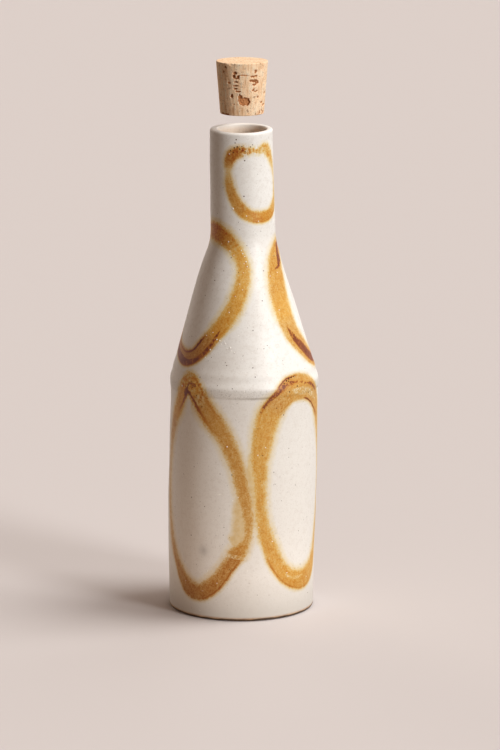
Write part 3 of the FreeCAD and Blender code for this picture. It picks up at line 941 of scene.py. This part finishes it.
cork_low, cork_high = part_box("cork_stopper")
cork_foot = cork_low.z / mm
cork_head = cork_high.z / mm
cork_foot_radius = 11.15
cork_head_radius = 13.25
cork_edge_ease = 0.45
end_spacing = 0.6
side_spacing = 0.25
cork_corners = [
    (0, cork_foot, 0, end_spacing),
    (cork_foot_radius, cork_foot, cork_edge_ease, side_spacing),
    (cork_head_radius, cork_head, cork_edge_ease, end_spacing),
    (0, cork_head, 0, end_spacing),
]
cork_rows = outline(cork_corners)
cork_finish = bpy.data.materials.new("natural cork")
cut_on_the_taper = {"Steps Round": 330, "Ring Depth": 0.0, "Ring Pitch": 1.0, "Unevenness": 0.0}
cut_on_the_taper |= {"Lip Dip": 0.0, "Height": 1.0, "Seed": 8.0, "Surface": cork_finish}
all_skin = [1.0] * len(cork_rows)
no_lean = [0.0] * len(cork_rows)
cork_section = half_section("cork half section", cork_rows, all_skin, no_lean)
cork = run_tree(turned_on_the_wheel, cork_section, "cork", cut_on_the_taper)
cork.data.shade_smooth()

# Each pit: degrees from the front, + to the right; height above the small end, half width, half height
# and depth in mm
pits = [
    (4, 7.6, 2.6, 2.0, 1.5), (-4, 8.6, 1.2, 2.2, 1.3), (-6, 10.6, 0.4, 1.2, 1.0), (12, 7.4, 1.8, 1.9, 1.4),
    (-26, 26.9, 1.6, 0.7, 0.6), (-21, 26.6, 1.2, 0.9, 0.5),
    (-40, 24.8, 0.6, 0.6, 0.8), (-47, 22.4, 0.6, 0.8, 0.8), (-16, 22.2, 1.0, 0.6, 1.0),
    (-19, 20.4, 0.8, 0.9, 0.9), (-9, 20.2, 0.7, 0.9, 0.9), (-14, 19.4, 1.0, 0.4, 0.8),
    (-14, 17.5, 1.2, 0.42, 0.9), (-15, 15.6, 1.2, 0.4, 0.9), (-16, 14.1, 1.2, 0.4, 0.9),
    (-11, 12.7, 1.5, 0.42, 0.8), (-26, 10.3, 0.8, 1.1, 0.8), (2, 21.1, 1.8, 0.26, 0.5),
    (10, 20.9, 1.4, 0.26, 0.5), (-32, 17, 1.2, 0.5, 0.4), (33, 22.9, 0.9, 0.9, 0.6),
    (27, 20.3, 1.4, 0.5, 0.7), (34, 20.6, 0.8, 0.4, 0.7), (24, 18.2, 1.5, 0.6, 0.8),
    (33, 17.9, 1.7, 0.7, 0.9), (38, 17.0, 1.2, 0.5, 0.7), (30, 16.1, 1.3, 0.45, 0.7),
    (28, 13.2, 0.9, 0.4, 0.7), (34, 12.4, 0.8, 0.4, 0.6), (38, 12.8, 0.6, 0.35, 0.6),
    (43, 9.6, 0.6, 0.5, 0.6), (72, 11.1, 0.9, 0.8, 0.7), (69, 5.0, 1.0, 0.7, 0.7),
    (58, 6.4, 0.9, 0.5, 0.6), (52, 1.5, 0.6, 1.0, 0.8), (69, 1.3, 0.6, 1.0, 0.8),
    (60, 2.4, 0.5, 0.7, 0.6), (-61, 0.6, 1.4, 0.6, 0.6), (-44, 0.6, 1.8, 0.5, 0.5),
    (80, 16, 0.8, 0.8, 0.6),
]

# In mm: the cork's radius halfway up, the radius inside which its ends have no pits, the height above which
# a pit is a fresh chip and hasn't darkened, the radius inside which it stays smooth, and how rough it is
cork_middle_radius = 12.2
no_pits_inside = 9.5
fresh_above = 26
smooth_inside = 3
cork_roughness = 0.05

# As shares of a pit's half width: where its wall ends, how much the wall takes up, how ragged its edge is,
# and a place that is well clear of it. As shares of its depth: its floor, and how uneven that is
wall_end = 1.12
wall_share = 0.32
edge_raggedness = 0.45
far_from_a_pit = 9
floor_share = 0.85
floor_unevenness = 0.3

# How fine the crumbling is, per mm, and the grain across the cork and up it
crumbs_per_mm = 1.1
grain_across = 1.6
grain_up = 0.7


def carve(cork, pits, extra):
    """Sinks the pits into the cork, and notes on each vertex how deep it lies."""
    mesh = cork.data
    count = len(mesh.vertices)
    spots = np.empty(count * 3, np.float32)
    mesh.vertices.foreach_get("co", spots)
    spots = spots.reshape(-1, 3).astype(float) / mm
    radius = np.hypot(spots[:, 0], spots[:, 1])
    turn = np.degrees(np.arctan2(spots[:, 0], -spots[:, 1]))
    up = spots[:, 2] - cork_foot
    ragged = np.array([noise.fractal(Vector(spot) * crumbs_per_mm, 1.0, 2.0, 3) for spot in spots])
    depth = np.zeros(count)
    for angle, height, half_width, half_height, deep in pits + extra:
        across = np.radians((turn - angle + 180) % 360 - 180) * cork_middle_radius
        away = np.hypot(across / half_width, (up - height) / half_height)
        away += ragged * edge_raggedness / max(1.0, min(half_width, half_height))
        away = np.where(radius > no_pits_inside, away, far_from_a_pit)
        wall = np.clip((wall_end - away) / wall_share, 0, 1)
        depth = np.maximum(depth, deep * wall * wall * (3 - 2 * wall))
    drawn_out = [Vector((x * grain_across, y * grain_across, z * grain_up)) for x, y, z in spots]
    rough = np.array([noise.fractal(spot, 1.0, 2.0, 4) for spot in drawn_out])
    inward = depth * (floor_share + floor_unevenness * ragged) + cork_roughness * rough
    spots[:, :2] *= (1 - inward / np.maximum(radius, smooth_inside))[:, None]
    mesh.vertices.foreach_set("co", (spots * mm).astype(np.float32).ravel())
    mesh.update()
    note(mesh, "carved", np.where(up > fresh_above, 0, depth))


# Small pores all over, by chance, with the same numbers as a pit
small_pore_count = 130
pores_random = np.random.default_rng(11)
small_pores = []
for _ in range(small_pore_count):
    direction = pores_random.uniform(-180, 180)
    pore_height = pores_random.uniform(0.5, 26.5)
    half_width = pores_random.uniform(0.2, 0.5)
    half_height = pores_random.uniform(0.15, 0.35)
    pore_depth = pores_random.uniform(0.15, 0.35)
    small_pores.append((direction, pore_height, half_width, half_height, pore_depth))
carve(cork, pits, small_pores)


def make_cork(material):
    """Cork: a warm tan ground of tiny cells, darker grain up and down it, and red-brown pits with painted
    shade on their walls.
    """
    material.use_nodes = True
    tree = material.node_tree
    surface = tree.nodes["Principled BSDF"]
    place = put(tree, "ShaderNodeTexCoord", out=3)
    depth = noted_on(tree, "carved")[0]
    drawn_out = put(tree, "ShaderNodeVectorMath", [place, (1.0, 1.0, 0.16)], operation="MULTIPLY")
    grain = mottle(tree, drawn_out, 900, 3)
    cells = mottle(tree, place, 1250, 3, 0.6)
    patches = mottle(tree, place, 190, 3)
    tone = plus(tree, times(tree, grain, 0.45), times(tree, patches, 0.25), times(tree, cells, 0.3))
    tones = [(0.32, linear(206, 148, 98)), (0.48, linear(255, 216, 174)), (0.62, linear(255, 237, 208))]
    colour = colour_steps(tree, tone, tones)
    colour = blend(tree, times(tree, between(tree, cells, 0.54, 0.66), 0.5), colour, linear(164, 110, 68))
    colour = blend(tree, times(tree, between(tree, cells, 0.44, 0.32), 0.6), colour, linear(255, 236, 208))
    dark = mottle(tree, place, 520, 3, 0.6)
    colour = blend(tree, times(tree, between(tree, dark, 0.62, 0.7), 0.6), colour, linear(132, 76, 38))
    colour = blend(tree, between(tree, depth, 0.05, 0.35), colour, linear(206, 142, 92))
    # Painted shade darkens the pits partway down their walls
    pit_wall_shade = times(tree, between(tree, depth, 0.35, 0.65), between(tree, depth, 1.25, 1.05))
    colour = blend(tree, times(tree, pit_wall_shade, 0.65), colour, linear(146, 88, 50))
    tree.links.new(colour, surface.inputs["Base Color"])
    surface.inputs["Roughness"].default_value = 0.85
    surface.inputs["Specular IOR Level"].default_value = 0.25
    height = plus(tree, times(tree, cells, 0.5), times(tree, grain, 0.5))
    bump = put(tree, "ShaderNodeBump", {"Strength": 1.0, "Distance": 0.45 * mm, "Height": height})
    tree.links.new(bump, surface.inputs["Normal"])


make_cork(cork_finish)
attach(cork, "cork")
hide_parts("cork_stopper")

# The bottle stands on a plain pale floor that throws a little warm light back at it. Soft distant lamps
# light it: a low one right of the front, a high one on the right, and weaker ones from behind and from the
# left. The surroundings are warm and dim.

floor_side = 12
floor_front = -12
floor_back = 14
floor_corners = [
    (-floor_side, floor_front, 0),
    (floor_side, floor_front, 0),
    (floor_side, floor_back, 0),
    (-floor_side, floor_back, 0),
]
floor_mesh = bpy.data.meshes.new("floor")
floor_mesh.from_pydata(floor_corners, [], [(0, 1, 2, 3)])
floor = bpy.data.objects.new("floor", floor_mesh)
bpy.context.collection.objects.link(floor)
paint = bpy.data.materials.new("floor paint")
paint.use_nodes = True
paint_tree = paint.node_tree
pale_paint = paint_tree.nodes["Principled BSDF"]
pale_paint.inputs["Base Color"].default_value = linear(213, 206, 204)
pale_paint.inputs["Roughness"].default_value = 0.9
pale_paint.inputs["Specular IOR Level"].default_value = 0.1

# Round this place in front of the bottle the floor throws warm light back
bounce_middle = (-0.07, -0.11, 0)
bounce_end = 0.25
bounce_full = 0.07
ends = [put(paint_tree, "ShaderNodeTexCoord", out=3), bounce_middle]
from_middle = put(paint_tree, "ShaderNodeVectorMath", ends, out=1, operation="DISTANCE")
near_bottle = between(paint_tree, from_middle, bounce_end, bounce_full)
bounce = blend(paint_tree, near_bottle, linear(40, 34, 30), linear(216, 200, 186))
warm_bounce = put(paint_tree, "ShaderNodeBsdfDiffuse", [bounce])


def in_view(tree):
    """1 where a surface is looked at, also in a reflection, and 0 where it only throws its light."""
    rays = tree.nodes.new("ShaderNodeLightPath").outputs
    seen = calc(tree, "MAXIMUM", rays["Is Camera Ray"], rays["Is Glossy Ray"])
    return calc(tree, "MAXIMUM", seen, rays["Is Transmission Ray"])


both = put(paint_tree, "ShaderNodeMixShader", [in_view(paint_tree), warm_bounce, pale_paint.outputs[0]])
paint_tree.links.new(both, paint_tree.nodes["Material Output"].inputs["Surface"])
floor_mesh.materials.append(paint)


def sun(name, azimuth, elevation, strength, size, colour, mirrored=True):
    """A soft distant lamp: degrees round to the right of the front, degrees up, strength and size."""
    lamp = bpy.data.lights.new(name, "SUN")
    lamp.energy = strength
    lamp.angle = math.radians(size)
    lamp.color = colour
    holder = bpy.data.objects.new(name, lamp)
    bpy.context.collection.objects.link(holder)
    turn, rise = math.radians(azimuth), math.radians(elevation)
    towards = Vector((math.sin(turn) * math.cos(rise), -math.cos(turn) * math.cos(rise), math.sin(rise)))
    holder.rotation_euler = (-towards).to_track_quat("-Z", "Y").to_euler()
    holder.visible_glossy = mirrored


sun("window", 47, 15, 2.25, 17, (0.99, 1.0, 1.0))
sun("skylight", 93, 62, 2.1, 30, (1.0, 0.99, 0.97))
sun("rim", -150, 2, 1.3, 20, (1.0, 0.9, 0.8), mirrored=False)
sun("back", 150, 35, 0.4, 40, (1.0, 1.0, 1.0), mirrored=False)
sun("fill", -28, 4, 0.1, 40, (1.0, 0.93, 0.84), mirrored=False)

world = bpy.data.worlds.new("surroundings")
bpy.context.scene.world = world
world.use_nodes = True
air = world.node_tree
dim_light = air.nodes["Background"]
dim_light.inputs["Color"].default_value = linear(190, 160, 138)
dim_light.inputs["Strength"].default_value = 0.4
backdrop = put(air, "ShaderNodeBackground", [linear(224, 212, 204), 1.0])
mixed = put(air, "ShaderNodeMixShader", [in_view(air), dim_light.outputs[0], backdrop])
air.links.new(mixed, air.nodes["World Output"].inputs["Surface"])

# The camera stands 2.1 m in front and 0.57 m up, and looks down on the bottle
camera_place = (0.00406, -2.083, 0.568)
degrees_down = 12.09
camera_data = bpy.data.cameras.new("camera")
camera_data.lens = 197.76
camera_data.sensor_width = 36
camera = bpy.data.objects.new("camera", camera_data)
camera.location = camera_place
camera.rotation_euler = (math.radians(90 - degrees_down), 0, 0)
bpy.context.collection.objects.link(camera)
bpy.context.scene.camera = camera
bpy.context.scene.view_settings.view_transform = "Standard"
